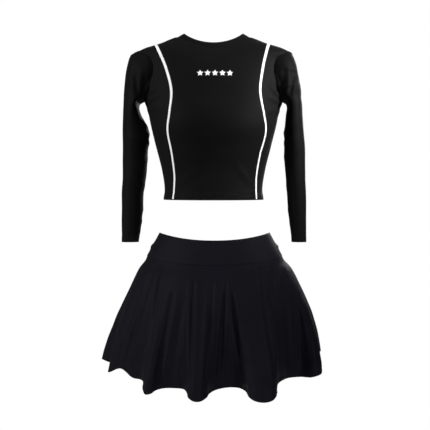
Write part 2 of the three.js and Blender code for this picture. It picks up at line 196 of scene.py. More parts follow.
def sleeve_surface(side):
    """The sleeve on the +X side (1) or the -X side (-1); the angle runs the same way round in both."""
    cap = CAP[side]

    def surface(a, z):
        inner, outer, depth = sleeve_at[side](z)
        rise = np.clip((z - SHOULDER_Z) / 0.060, 0, 1)
        share = np.sqrt(np.maximum(0, 1 - rise * rise))
        high = z > SHOULDER_Z
        outer = np.where(high, np.minimum(SHOULDER_X + cap * share, outer), outer)
        inner = np.where(high, SHOULDER_X - 0.060 * share + 0.001 * share, inner)
        outer = np.maximum(outer, inner)
        depth = np.where(high, depth * share, depth)
        reach = np.minimum(np.where(high, outer - SHOULDER_X, sleeve_reach(z)[0]), outer - inner)
        lean = np.cos(a) * side
        x = outer - reach + np.where(lean > 0, reach, outer - inner - reach) * lean
        return np.stack([x * side, depth * np.sin(a), z + 0 * a], -1)

    return surface


# ---------- The hem of the skirt ----------

def hem_controls():
    rows = [list(r) for r in HEM_FRONT]
    first, last = rows[-1][3], rows[0][3] + 360
    steps = 2 * BACK_CRESTS + 1
    for k in range(steps):
        share = (k + 1) / (steps + 1)
        seam = first + (last - first) * share
        out = (24 if k % 2 == 0 else -24) + 3 * math.sin(2.3 * k)
        a = math.radians(seam) + 0.03 * math.sin(1.7 * k)
        z = -318 - (6 if k % 2 == 0 else -4) - 5 * math.sin(math.pi * share)
        rows.append([(244 + out) * math.cos(a), (190 + out) * math.sin(a), z, seam, 0.14])
    return np.array(rows, float)


def hem_curve():
    """Hermite curve through the hem's controls; the parameter runs 0 to 1 once round."""
    c = hem_controls()
    x, y = c[:, 0] * MM, c[:, 1] * MM
    depth = np.where(y < 0, 0.196, 0.190)
    angle = np.unwrap(np.arctan2(y / depth, x / 0.244)) - TAU
    radius = np.hypot(x / 0.244, y / depth)
    values = np.stack([angle, radius, c[:, 2] * MM, np.radians(c[:, 3]), c[:, 4]], -1)
    once = values[0] + np.array([TAU, 0, 0, TAU, 0])
    step = np.hypot(np.diff(np.append(x, x[0])), np.diff(np.append(y, y[0]))) ** 0.75
    t = np.concatenate([[0], np.cumsum(step)]) / step.sum()
    v = np.vstack([values, once])
    ahead = np.array([TAU, 0, 0, TAU, 0])
    secant = np.diff(v, axis=0) / np.diff(t)[:, None]
    slope = np.empty_like(v)
    slope[1:-1] = (secant[1:] * np.diff(t)[:-1, None] + secant[:-1] * np.diff(t)[1:, None]) / (t[2:]
            - t[:-2])[:, None]
    slope[0] = slope[-1] = (secant[0] + secant[-1]) / 2
    slope[:, 3] = np.minimum(slope[:, 3], 3 * np.minimum(np.append(secant[:, 3], secant[-1, 3]),
                                                        np.insert(secant[:, 3], 0, secant[0, 3])))

    def at(u):
        turns = np.floor(u)
        q = u - turns
        i = np.clip(np.searchsorted(t, q, side="right") - 1, 0, len(t) - 2)
        h = (t[i + 1] - t[i])[..., None]
        p = ((q - t[i]) / h[..., 0])[..., None]
        made = (2 * p**3 - 3 * p**2 + 1) * v[i] + (p**3 - 2 * p**2 + p) * h * slope[i]
        made += (-2 * p**3 + 3 * p**2) * v[i + 1] + (p**3 - p**2) * h * slope[i + 1]
        return np.moveaxis(made + turns[..., None] * ahead, -1, 0)

    return at


hem_at = hem_curve()


def skirt_surface(u, s):
    """s 0 at the waistband seam, 1 at the hem."""
    angle, radius, low, seam, onset = hem_at(np.asarray(u, float))
    turn = np.clip(s, 0, 1)
    a = seam + (angle - seam) * (turn ** 0.9)
    start = edge(BAND_LOW, BAND_LOW, seam, 0 * seam)[..., 2] - 0.0006
    side, front, back = skirt_at(-0.049 + (-0.333 + 0.049) * turn)
    grow = np.clip((turn - onset) / (1 - onset), 0, 1)
    grow = (np.sqrt(grow * grow + 0.0036) - 0.06) / (math.sqrt(1.0036) - 0.06)
    p = oval(side, front, back, a, 0 * s)
    scale = 1 + (radius - 1) * grow
    p[..., 0] *= scale
    p[..., 1] *= scale
    flank = np.sin(math.pi * np.clip(s, 0, 1))
    p[..., 0] += SKIRT_SET + flank * MM * (6 * np.clip(-np.cos(a), 0, 1) ** 2 + 2
                                           * np.clip(np.cos(a), 0, 1) ** 2)
    p[..., 2] = start + (low - start) * s
    return p


def seam_parameter(degrees):
    """Where on the hem curve the cloth hangs from this angle of the waistband seam."""
    u = np.linspace(-0.5, 1.5, 8001)
    return float(np.interp(math.radians(degrees), hem_at(u)[3], u))


# ---------- Cloth relief ----------

# Folds seen from the front or the back: x0, z0, x1, z1, width, height in mm.
FOLDS_FRONT = [
    (-166, 320, -126, 354, 4.2, 1.8), (-163, 328, -138, 378, 4.0, 1.5), (-168, 314, -116, 330, 4.8, 1.5),
    (-162, 300, -114, 296, 6.5, 1.0), (-174, 330, -170, 396, 5.0, 2.0), (-184, 322, -196, 384, 5.5, 1.8),
    (-170, 322, -180, 300, 4.0, 1.5), (166, 318, 130, 350, 4.2, 2.0), (160, 325, 144, 378, 3.8, 1.9),
    (172, 330, 177, 392, 5.5, 2.4), (170, 312, 122, 322, 5.0, 1.4), (186, 330, 200, 378, 5.0, 1.8),
    (164, 298, 124, 288, 6.0, 0.9), (154, 340, 190, 362, 4.5, 1.6), (50, 166, 86, 122, 7.0, 0.9),
    (-40, 150, -84, 116, 8.0, 0.6), (-70, 232, 0, 214, 12, 0.9), (72, 236, 4, 216, 12, 0.9),
    (-150, 280, -126, 225, 7.0, 0.8), (152, 276, 128, 220, 7.0, 0.8),
]
FOLDS_BACK = [
    (-164, 322, -120, 352, 5.0, 1.7), (-168, 316, -110, 322, 5.5, 1.5), (162, 324, 124, 360, 5.0, 1.7),
    (168, 314, 112, 326, 5.5, 1.4), (-70, 150, 60, 136, 9, 1.3), (-50, 176, 74, 168, 9, 1.2),
    (-60, 128, 48, 116, 8, 1.0), (-172, 332, -176, 392, 5.5, 2.0), (174, 330, 178, 390, 5.5, 2.0),
    (-20, 420, -60, 380, 10, 0.9), (24, 418, 66, 376, 10, 0.9), (0, 300, 4, 230, 14, -1.2),
]


def folds(p, rows):
    x, z = p[..., 0] / MM, p[..., 2] / MM
    made = np.zeros(x.shape)
    for x0, z0, x1, z1, width, height in rows:
        length = math.hypot(x1 - x0, z1 - z0)
        tx, tz = (x1 - x0) / length, (z1 - z0) / length
        along = ((x - x0) * tx + (z - z0) * tz) / length
        off = (x - x0) * -tz + (z - z0) * tx
        inside = np.clip(along, 0, 1)
        off = np.hypot(off, (along - inside) * length)
        taper = np.sqrt(np.clip(np.sin(np.pi * np.clip(along * 0.86 + 0.07, 0, 1)), 0, 1))
        made += height * taper * (np.exp(-((off / width) ** 2)) - 0.55
                                  * np.exp(-(((off - 1.9 * width) / width) ** 2)))
    return made * MM


def waves(p, size, seed):
    """Slow unevenness of worn cloth, within about 1."""
    q = p / size
    x, y, z = q[..., 0], q[..., 1], q[..., 2]
    made = np.sin(1.9 * x + 1.3 * z + seed) * np.cos(1.1 * y - 1.7 * z + 2 * seed)
    return 0.6 * made + 0.4 * np.sin(3.1 * z - 2.3 * x + 1.7 * y + 3 * seed)


def stitch_grooves(height, lines, width=0.7):
    """Cover stitches pull the cloth in along each line; heights in metres above the hem."""
    made = np.zeros(height.shape)
    for line in lines:
        made -= 0.35 * MM * np.exp(-(((height - line) / (width * MM)) ** 2))
    return made


def top_relief(p):
    front = np.clip(0.5 - p[..., 1] / 0.03, 0, 1)
    made = front * folds(p, FOLDS_FRONT) + (1 - front) * folds(p, FOLDS_BACK)
    made = made + 0.35 * MM * waves(p, 0.045, 1.0)
    up = p[..., 2] - TOP_HEM
    made += 0.5 * MM * np.clip(1 - np.maximum(up - 12 * MM, 0) / (2 * MM), 0, 1) + stitch_grooves(up,
            [10 * MM, 14 * MM])
    made -= 0.9 * MM * np.exp(-((p[..., 1] / (1.6 * MM)) ** 2)) * (np.abs(p[..., 0]) > 0.09)
    e = armhole(p)
    made -= 0.45 * MM * np.exp(-((e / (2.0 * MM)) ** 2))
    made += 0.25 * MM * np.exp(-(((e - 5 * MM) / (2.0 * MM)) ** 2))
    made -= 0.8 * MM * np.exp(-((neck_room(p) / (2.0 * MM)) ** 2))
    return made


def armhole(p, grow=0.0):
    """Distance, roughly, out of the armhole's rounded cut, in metres."""
    x = (np.abs(p[..., 0]) - SHOULDER_X) / (0.0602 + grow)
    y, z = p[..., 1] / (0.0502 + grow), (p[..., 2] - SHOULDER_Z) / (0.0602 + grow)
    return (np.sqrt(x * x + y * y + z * z) - 1) * 0.056


def neck_room(p):
    depth = 0.0644
    return (np.hypot(p[..., 0] / 0.0894, p[..., 1] / depth) - 1) * 0.07


def out_of_top(p):
    """Distance, roughly, out of the surface of the top."""
    side, front, back = top_at(np.clip(p[..., 2], 0.085, 0.480))
    depth = np.where(p[..., 1] < 0, front, back)
    share = np.hypot(p[..., 0] / side, p[..., 1] / depth)
    slope = np.hypot(p[..., 0] / side**2, p[..., 1] / depth**2) / np.maximum(share, 1e-6)
    return (share - 1) / np.maximum(slope, 1e-6)


# ---------- Mesh code ----------

class Cloth:
    """A sheet as arrays: points, outward normals, flat coordinates in metres, faces."""

    def __init__(self, surface, us, vs, step=(1e-3, 1e-4), closed=False):
        u, v = np.meshgrid(us, vs)
        p = surface(u, v)
        across = surface(u + step[0], v) - surface(u - step[0], v)
        up = surface(u, v + step[1]) - surface(u, v - step[1])
        n = np.cross(across, up)
        n /= np.maximum(np.linalg.norm(n, axis=-1, keepdims=True), 1e-12)
        rows, cols = u.shape
        du = np.linalg.norm(np.diff(p, axis=1), axis=-1)
        dv = np.linalg.norm(np.diff(p, axis=0), axis=-1)
        middle = rows // 2
        flat_u = np.concatenate([[0], np.cumsum(du[middle])])
        flat_v = np.concatenate([[0], np.cumsum(dv.mean(axis=1))])
        flat = np.stack(np.broadcast_arrays(flat_u[None, :], flat_v[:, None]), -1)
        index = np.arange(rows * cols).reshape(rows, cols)
        if closed:
            index = np.concatenate([index, index[:, :1]], axis=1)
        quads = np.stack([index[:-1, :-1], index[:-1, 1:], index[1:, 1:], index[1:, :-1]], -1).reshape(-1, 4)
        self.p, self.n, self.flat = p.reshape(-1, 3), n.reshape(-1, 3), flat.reshape(-1, 2)
        self.faces = [tuple(q) for q in quads.tolist()]

    def clip(self, distance):
        """Keeps what lies where distance is positive, with a clean edge."""
        d = distance(self.p)
        near = np.abs(d) < 1e-6
        d = np.where(near, 1e-6, d)
        keep = d > 0
        cut, faces = {}, []
        p, n, flat = [], [], []
        base = len(self.p)

        def crossing(a, b):
            key = (a, b) if a < b else (b, a)
            if key not in cut:
                i, j = key
                t = d[i] / (d[i] - d[j])
                cut[key] = base + len(p)
                p.append(self.p[i] + (self.p[j] - self.p[i]) * t)
                m = self.n[i] + (self.n[j] - self.n[i]) * t
                n.append(m / max(np.linalg.norm(m), 1e-9))
                flat.append(self.flat[i] + (self.flat[j] - self.flat[i]) * t)
            return cut[key]

        for face in self.faces:
            states = [keep[i] for i in face]
            if all(states):
                faces.append(face)
            elif any(states):
                made = []
                for k, i in enumerate(face):
                    j = face[(k + 1) % len(face)]
                    if keep[i]:
                        made.append(i)
                    if keep[i] != keep[j]:
                        made.append(crossing(i, j))
                if len(made) > 2:
                    faces.append(tuple(made))
        if p:
            self.p, self.n = np.vstack([self.p, p]), np.vstack([self.n, n])
            self.flat = np.vstack([self.flat, flat])
        self.faces = faces
        used = np.unique([i for f in faces for i in f])
        renumber = np.full(len(self.p), -1)
        renumber[used] = np.arange(len(used))
        self.p, self.n, self.flat = self.p[used], self.n[used], self.flat[used]
        self.faces = [tuple(int(renumber[i]) for i in f) for f in faces]
        return self

    def relief(self, height):
        self.p = self.p + self.n * np.asarray(height(self.p))[:, None]
        return self

    def offset(self, distance):
        self.p = self.p + self.n * distance
        return self


def mesh_object(name, points, faces, material, flat=None, sharp=50):
    data = bpy.data.meshes.new(name)
    data.from_pydata([tuple(q) for q in np.asarray(points, float)], [], faces)
    data.validate()
    data.polygons.foreach_set("use_smooth", [True] * len(data.polygons))
    data.set_sharp_from_angle(angle=math.radians(sharp))
    if flat is not None:
        layer = data.uv_layers.new(name="Cloth")
        loops = np.zeros(len(data.loops), np.int32)
        data.loops.foreach_get("vertex_index", loops)
        layer.data.foreach_set("uv", np.asarray(flat, np.float32)[loops].ravel())
    data.materials.append(material)
    obj = bpy.data.objects.new(name, data)
    bpy.context.scene.collection.objects.link(obj)
    return obj


def thick(name, cloth, material, thickness=FABRIC):
    """The sheet with its inner side and its cut edges."""
    count = len(cloth.p)
    inner = cloth.p - cloth.n * thickness
    faces = list(cloth.faces) + [tuple(i + count for i in reversed(f)) for f in cloth.faces]
    edges = {}
    for f in cloth.faces:
        for k, i in enumerate(f):
            j = f[(k + 1) % len(f)]
            edges[(i, j)] = True
    for i, j in edges:
        if (j, i) not in edges:
            faces.append((j, i, i + count, j + count))
    return mesh_object(name, np.vstack([cloth.p, inner]), faces, material,
                       np.vstack([cloth.flat, cloth.flat]))


def unit(v):
    return v / np.maximum(np.linalg.norm(v, axis=-1, keepdims=True), 1e-12)


def tape(name, centre, normal, width, material, thickness=TAPE, lift=0.0, closed=False, sections=8):
    """A flat tape with rounded edges along a line on a surface."""
    tangent = unit(np.gradient(centre, axis=0)) if not closed else unit(
        np.roll(centre, -1, 0) - np.roll(centre, 1, 0))
    across = unit(np.cross(normal, tangent))
    loop = []
    for k in range(sections + 1):
        s = -1 + 2 * k / sections
        loop.append((s / 2, lift + thickness * (1 - 0.55 * abs(s) ** 6)))
    for k in range(sections + 1):
        s = 1 - 2 * k / sections
        loop.append((s / 2, lift))
    width = np.broadcast_to(width, (len(centre),))
    rows = [centre + across * (width * a)[:, None] + normal * h for a, h in loop]
    count, size = len(centre), len(loop)
    points = np.stack(rows, 1).reshape(-1, 3)
    length = np.concatenate([[0], np.cumsum(np.linalg.norm(np.diff(centre, axis=0), axis=-1))])
    flat = np.array([[a * width[i], length[i]] for i in range(count) for a, _ in loop])
    faces = []
    for i in range(count if closed else count - 1):
        j = (i + 1) % count
        for k in range(size):
            m = (k + 1) % size
            faces.append((i * size + k, i * size + m, j * size + m, j * size + k))
    if not closed:
        faces.append(tuple(reversed(range(size))))
        faces.append(tuple((count - 1) * size + k for k in range(size)))
    obj = mesh_object(name, points, faces, material, flat, 60)
    return face_out(obj)


def face_out(obj):
    import bmesh
    bm = bmesh.new()
    bm.from_mesh(obj.data)
    bmesh.ops.recalc_face_normals(bm, faces=bm.faces)
    bm.to_mesh(obj.data)
    bm.free()
    return obj


def stitches(name, lines, material, pitch=3.0 * MM, share=0.66, radius=0.28 * MM, lift=0.12 * MM, slant=0.0):
    """Separate thread stitches along lines of (points, normals)."""
    points, faces = [], []
    for centre, normal in lines:
        length = np.concatenate([[0], np.cumsum(np.linalg.norm(np.diff(centre, axis=0), axis=-1))])
        count = max(1, int(length[-1] / pitch))
        for k in range(count):
            ends = (np.array([k + 0.5 - share / 2, k + 0.5, k + 0.5 + share / 2]) * length[-1] / count)
            spine = np.stack([np.interp(ends, length, centre[:, i]) for i in range(3)], -1)
            up = unit(np.array([np.interp(ends[1], length, normal[:, i]) for i in range(3)]))
            along = unit(spine[2] - spine[0])
            side = np.cross(up, along)
            base = len(points)
            for share_at, size, high in ((0, 0.35, -0.25), (0.2, 0.9, 0.7), (0.5, 1, 1), (0.8, 0.9, 0.7),
                                         (1, 0.35, -0.25)):
                middle = spine[0] + (spine[2] - spine[0]) * share_at + up * (lift + radius * high * 0.6)
                middle = middle + side * slant * (share_at - 0.5)
                for m in range(5):
                    t = TAU * m / 5
                    points.append(middle + (side * math.cos(t) + up * math.sin(t)) * radius * size)
            for r in range(4):
                for m in range(5):
                    q = (m + 1) % 5
                    faces.append((base + r * 5 + m, base + r * 5 + q, base + r * 5 + 5 + q,
                                  base + r * 5 + 5 + m))
            faces.append(tuple(base + m for m in reversed(range(5))))
            faces.append(tuple(base + 20 + m for m in range(5)))
    return face_out(mesh_object(name, points, faces, material, None, 80))


def line_on(surface, u, v, relief=None, step=(1e-3, 1e-4)):
    """Points and normals along a line drawn on a surface."""
    p = surface(u, v)
    n = unit(np.cross(surface(u + step[0], v) - surface(u - step[0], v),
                      surface(u, v + step[1]) - surface(u, v - step[1])))
    if relief is not None:
        p = p + n * relief(p)[:, None]
    return p, n


# ---------- Materials ----------

def nodes_of(name):
    m = bpy.data.materials.new(name)
    m.use_nodes = True
    tree = m.node_tree
    return m, tree, tree.nodes["Principled BSDF"]


def link(tree, a, b):
    tree.links.new(a, b)


def math_node(tree, kind, a, b=None):
    n = tree.nodes.new("ShaderNodeMath")
    n.operation = kind
    for i, value in enumerate((a, b)):
        if value is None:
            continue
        if isinstance(value, (int, float)):
            n.inputs[i].default_value = value
        else:
            link(tree, value, n.inputs[i])
    return n.outputs[0]


def fabric(name, dark, light, rough=0.62, specular=0.03, sheen=0.05, sheen_rough=0.45, tint=(1, 1, 1),
           wale=1.15 * MM, course=0.95 * MM, kind="knit", bump=0.25, wear=0.25):
    m, tree, bsdf = nodes_of(name)
    coords = tree.nodes.new("ShaderNodeTexCoord")
    split = tree.nodes.new("ShaderNodeSeparateXYZ")
    link(tree, coords.outputs["UV"], split.inputs[0])
    u, v = split.outputs[0], split.outputs[1]
    if kind == "knit":
        column = math_node(tree, "FRACT", math_node(tree, "DIVIDE", u, wale))
        bent = math_node(tree, "ABSOLUTE", math_node(tree, "SUBTRACT", column, 0.5))
        row = math_node(tree, "ADD", math_node(tree, "DIVIDE", v, course),
                        math_node(tree, "MULTIPLY", bent, 1.2))
        wave = math_node(tree, "SINE", math_node(tree, "MULTIPLY", row, TAU))
        hump = math_node(tree, "SUBTRACT", 1,
                         math_node(tree, "MULTIPLY", math_node(tree, "MULTIPLY", bent, bent), 3.4))
        relief = math_node(tree, "MULTIPLY", math_node(tree, "ADD", math_node(tree, "MULTIPLY", wave, 0.35),
                                                       0.65), hump)
    elif kind == "twill":
        slant = math_node(tree, "ADD", math_node(tree, "DIVIDE", u, wale),
                          math_node(tree, "DIVIDE", v, course))
        relief = math_node(tree, "ADD", math_node(tree, "MULTIPLY", math_node(
            tree, "SINE", math_node(tree, "MULTIPLY", slant, TAU)), 0.5), 0.5)
    elif kind == "ribs":
        a = math_node(tree, "SINE", math_node(tree, "MULTIPLY", math_node(tree, "DIVIDE", v, course), TAU))
        b = math_node(tree, "SINE", math_node(tree, "MULTIPLY", math_node(tree, "DIVIDE", u, wale), TAU))
        relief = math_node(tree, "ADD", math_node(tree, "MULTIPLY", a, 0.38), math_node(
            tree, "ADD", math_node(tree, "MULTIPLY", b, 0.12), 0.5))
    else:
        a = math_node(tree, "SINE", math_node(tree, "MULTIPLY", math_node(tree, "DIVIDE", u, wale), TAU))
        relief = math_node(tree, "ADD", math_node(tree, "MULTIPLY", a, 0.5), 0.5)
    fuzz = tree.nodes.new("ShaderNodeTexNoise")
    fuzz.inputs["Scale"].default_value = 2600
    fuzz.inputs["Detail"].default_value = 2
    link(tree, coords.outputs["Object"], fuzz.inputs["Vector"])
    height = math_node(tree, "ADD", relief, math_node(tree, "MULTIPLY", fuzz.outputs[0], 0.5))
    b = tree.nodes.new("ShaderNodeBump")
    b.inputs["Strength"].default_value = bump
    b.inputs["Distance"].default_value = 0.25 * MM
    link(tree, height, b.inputs["Height"])
    link(tree, b.outputs[0], bsdf.inputs["Normal"])
    slow = tree.nodes.new("ShaderNodeTexNoise")
    slow.inputs["Scale"].default_value = 14
    slow.inputs["Detail"].default_value = 4
    slow.inputs["Roughness"].default_value = 0.55
    link(tree, coords.outputs["Object"], slow.inputs["Vector"])
    patch = math_node(tree, "MULTIPLY", slow.outputs[0], wear * 2)
    # The colour follows the weave relief, so the hollows of the stitches and ribs take the darker colour:
    # painted shade. The slow noise adds the cloth's own uneven tone.
    share = math_node(tree, "ADD", math_node(tree, "MULTIPLY", relief, 1 - wear), patch)
    mix = tree.nodes.new("ShaderNodeMix")
    mix.data_type = "RGBA"
    mix.inputs["A"].default_value = (*dark, 1)
    mix.inputs["B"].default_value = (*light, 1)
    link(tree, share, mix.inputs["Factor"])
    link(tree, mix.outputs["Result"], bsdf.inputs["Base Color"])
    roughness = math_node(tree, "ADD", math_node(tree, "MULTIPLY", slow.outputs[0], 0.16), rough - 0.08)
    link(tree, roughness, bsdf.inputs["Roughness"])
    bsdf.inputs["Specular IOR Level"].default_value = specular
    bsdf.inputs["Sheen Weight"].default_value = sheen
    bsdf.inputs["Sheen Roughness"].default_value = sheen_rough
    bsdf.inputs["Sheen Tint"].default_value = (*tint, 1)
    return m


BLACK = fabric("black_knit", (0.0016, 0.0016, 0.0016), (0.0044, 0.0044, 0.0044), sheen=0.007)
# The side panels are the same black knit as the centre, given a lighter colour and more sheen: painted light
# from the side lamps falling at a grazing angle.
SIDE = fabric("black_knit_sides_painted_light", (0.0020, 0.0020, 0.0020), (0.0052, 0.0052, 0.0052), sheen=0.020)
NECK = fabric("black_neckband_knit", (0.0018, 0.0018, 0.0018), (0.0048, 0.0048, 0.0048), sheen=0.008,
              wale=1.6 * MM, bump=0.35)
INSIDE = fabric("black_knit_reverse", (0.0030, 0.0030, 0.0030), (0.0075, 0.0075, 0.0075), sheen=0.01,
                kind="ribs",
                wale=2.0 * MM, course=0.9 * MM)
SKIRT = fabric("midnight_skirt_knit", (0.0022, 0.0022, 0.0036), (0.0056, 0.0056, 0.0088), sheen=0.010,
               tint=(0.92, 0.92, 1.0), rough=0.58)
BAND = fabric("midnight_waistband_knit", (0.0024, 0.0024, 0.0038), (0.0060, 0.0060, 0.0092), sheen=0.016,
              tint=(0.92, 0.92, 1.0), rough=0.56)
WHITE = fabric("white_trim_tape", (0.60, 0.60, 0.58), (0.88, 0.88, 0.86), kind="twill", wale=0.9 * MM,
               course=0.9 * MM, rough=0.5, specular=0.4, sheen=0.1, wear=0.2)
PRINT = fabric("white_flock_print", (0.70, 0.70, 0.68), (0.90, 0.90, 0.88), kind="satin", wale=0.5 * MM,
               rough=0.6, specular=0.3, sheen=0.15, wear=0.3)
ELASTIC = fabric("black_elastic", (0.006, 0.006, 0.006), (0.026, 0.026, 0.027), kind="ribs", wale=1.3 * MM,
                 course=2.2 * MM, rough=0.75, specular=0.25, bump=0.6)
LABEL = fabric("white_label_satin", (0.66, 0.66, 0.64), (0.88, 0.88, 0.86), kind="satin", wale=0.6 * MM,
               rough=0.35, specular=0.5, wear=0.15)
THREAD = fabric("black_thread", (0.0024, 0.0024, 0.0024), (0.0070, 0.0070, 0.0070), kind="twill",
                wale=0.5 * MM,
                course=0.5 * MM, rough=0.55, specular=0.05)
THREAD_NAVY = fabric("midnight_thread", (0.0028, 0.0028, 0.0044), (0.0075, 0.0075, 0.0110), kind="twill",
                     wale=0.5 * MM,
                     course=0.5 * MM, rough=0.55, specular=0.05)
THREAD_WHITE = fabric("white_thread", (0.62, 0.62, 0.60), (0.86, 0.86, 0.84), kind="twill", wale=0.5 * MM,
                      course=0.5 * MM, rough=0.45, specular=0.4)


def place(obj, body, slot, *nodes):
    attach(obj, body)
    if nodes:
        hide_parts(*nodes)
    return obj


# ---------- Crop top ----------

def rows_of(at, low, high, step, extra=()):
    z = np.linspace(low, high, 4000)
    v = at(z)
    d = np.sqrt(np.diff(z) ** 2 + np.max(np.abs(np.diff(v, axis=1)), axis=0) ** 2)
    length = np.concatenate([[0], np.cumsum(d)])
    made = np.interp(np.linspace(0, length[-1], int(length[-1] / step) + 1), length, z)
    return np.unique(np.round(np.concatenate([made, extra]), 6))


def dense_ends(low, high, count, more=0.5):
    t = np.linspace(0, 1, count)
    return low + (high - low) * (t - more * np.sin(TAU * t) / TAU)


hem_rows = TOP_HEM + np.arange(0, 16.5, 1.0) * MM
top_rows = rows_of(top_at, TOP_HEM, 0.4799, 3.0 * MM, hem_rows)
SLIT = 0.05 * MM


def front_cloth(clip):
    made = Cloth(top_surface, dense_ends(-math.pi + 1e-4, -1e-4, 170), top_rows)
    made.clip(lambda p: -p[:, 1] - SLIT).clip(armhole).clip(neck_room).clip(clip)
    return made.relief(top_relief)


def past_seam(p, side):
    """How far beyond the princess seam of one side a point lies."""
    return side * (p[:, 0] - TOP_TURN) - seam_at[side](p[:, 2])[0]


centre = place(thick("front_centre_cloth", front_cloth(lambda p: -np.maximum(past_seam(p, 1),
        past_seam(p, -1)) - SLIT), BLACK),
               "top", "top_knit", "front_centre_panel")
for side, word in ((1, "left"), (-1, "right")):
    cloth = front_cloth(lambda p: past_seam(p, side) - SLIT)
    place(thick(f"side_front_cloth_{word}", cloth, SIDE), "top", "top_knit",
                        f"side_front_panel_{word}")
back_cloth = Cloth(top_surface, dense_ends(1e-4, math.pi - 1e-4, 170), top_rows)
back_cloth.clip(lambda p: p[:, 1] - SLIT).clip(armhole).clip(neck_room).relief(top_relief)
back = place(thick("back_cloth", back_cloth, BLACK), "top", "top_knit", "back_panel")


def neckband():
    """Folded band: outer wall, rounded top fold, inner wall."""
    count = 240
    a = np.linspace(0, TAU, count, endpoint=False)
    shares, wall = np.linspace(-0.04, 1, 16), 2.0 * MM
    outer = []
    for s in shares:
        below = (1 - s) * 0.42 * np.clip(np.sin(a), 0, 1) ** 1.2
        p, n = line_on(neck_surface, a, s - below, None, (1e-3, 1e-3))
        swell = 0.35 * MM * math.sin(math.pi * min(1, max(0, s))) - 0.5 * MM * math.exp(-((s / 0.06) ** 2))
        outer.append((p + n * swell, n))
    rows = [p for p, n in outer]
    top, normal = outer[-1]
    up = unit(outer[-1][0] - outer[-2][0])
    for k in range(1, 6):
        t = math.pi * k / 6
        rows.append(top - normal * wall / 2 * (1 - math.cos(t)) + up * wall / 2 * math.sin(t))
    rows += [p - n * wall for p, n in reversed(outer)]
    size = len(rows)
    points = np.stack(rows, 1).reshape(-1, 3)
    length = np.concatenate([[0], np.cumsum(np.linalg.norm(np.diff(top, axis=0), axis=-1))])
    flat = np.array([[length[i], k * 1.1 * MM] for i in range(count) for k in range(size)])
    faces = []
    for i in range(count):
        j = (i + 1) % count
        for k in range(size):
            m = (k + 1) % size
            faces.append((i * size + k, j * size + k, j * size + m, i * size + m))
    return face_out(mesh_object("neckband_cloth", points, faces, NECK, flat, 60))


neck = place(neckband(), "top", "top_knit", "neckband")


def seam_path(side, stop=0.4606):
    z = np.concatenate([np.linspace(TOP_HEM + 0.2 * MM, 0.452, 300), np.linspace(0.4521, stop, 120)])
    x = seam_at[side](z)[0] + side * TOP_TURN
    width, front, _ = top_at(z)
    share = np.minimum(x / width, 1)
    a = -np.arccos(share)
    p, n = line_on(top_surface, a, z, top_relief)
    keep = share < 0.9999
    p, n = p[keep], n[keep]
    length = np.concatenate([[0], np.cumsum(np.linalg.norm(np.diff(p, axis=0), axis=-1))])
    even = np.linspace(0, length[-1], 190)
    p = np.stack([np.interp(even, length, p[:, i]) for i in range(3)], -1)
    n = unit(np.stack([np.interp(even, length, n[:, i]) for i in range(3)], -1))
    p[:, 0] *= side
    n[:, 0] *= side
    return p, n


STRIP_HEM, STRIP_SHOULDER = 5.0 * MM, 6.6 * MM
strips, strip_threads = {}, []
for side, word in ((1, "left"), (-1, "right")):
    p, n = seam_path(side)
    widths = np.linspace(STRIP_HEM, STRIP_SHOULDER, len(p))
    strips[word] = place(tape(f"seam_tape_{word}", p, n, widths, WHITE, lift=0.25 * MM), "top", "white_trim",
                         f"seam_strip_{word}")
    across = unit(np.cross(n, unit(np.gradient(p, axis=0))))
    edges = [(p + across * (s * 0.36 * widths)[:, None] + n * (TAPE + 0.2 * MM), n) for s in (-1, 1)]
    thread = stitches(f"seam_tape_stitches_{word}", edges, THREAD_WHITE, pitch=2.8 * MM, radius=0.22 * MM,
                      lift=0.05 * MM)
    strip_threads.append(place(thread, "top", "white_trim"))


def star(name, low, high):
    """A five-pointed flock print that follows the chest."""
    cx, cz = (low.x + high.x) / 2 + TOP_TURN, high.z - 7.6 * MM
    outline = []
    for i in range(10):
        r = (7.6 if i % 2 == 0 else 3.5) * MM
        t = math.pi / 2 + i * math.pi / 5
        outline.append((r * math.cos(t), r * math.sin(t)))
    fine = []
    for i in range(10):
        (x0, z0), (x1, z1) = outline[i], outline[(i + 1) % 10]
        fine += [(x0 + (x1 - x0) * k / 5, z0 + (z1 - z0) * k / 5) for k in range(5)]
    levels = [(0.0, 0.75), (0.25, 0.75), (0.5, 0.75), (0.75, 0.74), (0.93, 0.70), (1.0, 0.45), (1.0, 0.12)]
    points, flat = [], []

    def put(x, z, h):
        width, front, _ = (float(q) for q in top_at(z))
        a = -math.acos(x / width)
        p, n = line_on(top_surface, np.array([a]), np.array([z]), top_relief)
        points.append((p + n * h * MM)[0])
        flat.append((x, z))

    put(cx, cz, 0.75)
    for share, h in levels[1:]:
        for x, z in fine:
            put(cx + x * share, cz + z * share, h)
    count = len(fine)
    faces = [(0, 1 + (k + 1) % count, 1 + k) for k in range(count)]
    for r in range(len(levels) - 2):
        for k in range(count):
            j = (k + 1) % count
            a, b = 1 + r * count, 1 + (r + 1) * count
            faces.append((a + k, a + j, b + j, b + k))
    last = 1 + (len(levels) - 2) * count
    faces.append(tuple(last + k for k in range(count)))
    return face_out(mesh_object(name, points, faces, PRINT, flat, 40))


stars = [place(star(f"chest_star_print_{i + 1}", *box), "top", "white_trim", f"chest_star_{i + 1}")
         for i, box in enumerate(STAR_BOXES)]

around = np.linspace(0, TAU, 721)
hem_lines = [line_on(top_surface, around, 0 * around + TOP_HEM + h * MM, top_relief) for h in (10, 14)]
top_hem_thread = place(stitches("top_hem_stitches", hem_lines, THREAD, pitch=3.2 * MM), "top", "top_knit")
neck_line = line_on(neck_surface, around, 0 * around + 0.12, None, (1e-3, 1e-3))
neck_thread = place(stitches("neckband_stitches", [neck_line], THREAD, pitch=3.0 * MM, radius=0.24 * MM),
                    "top", "top_knit")


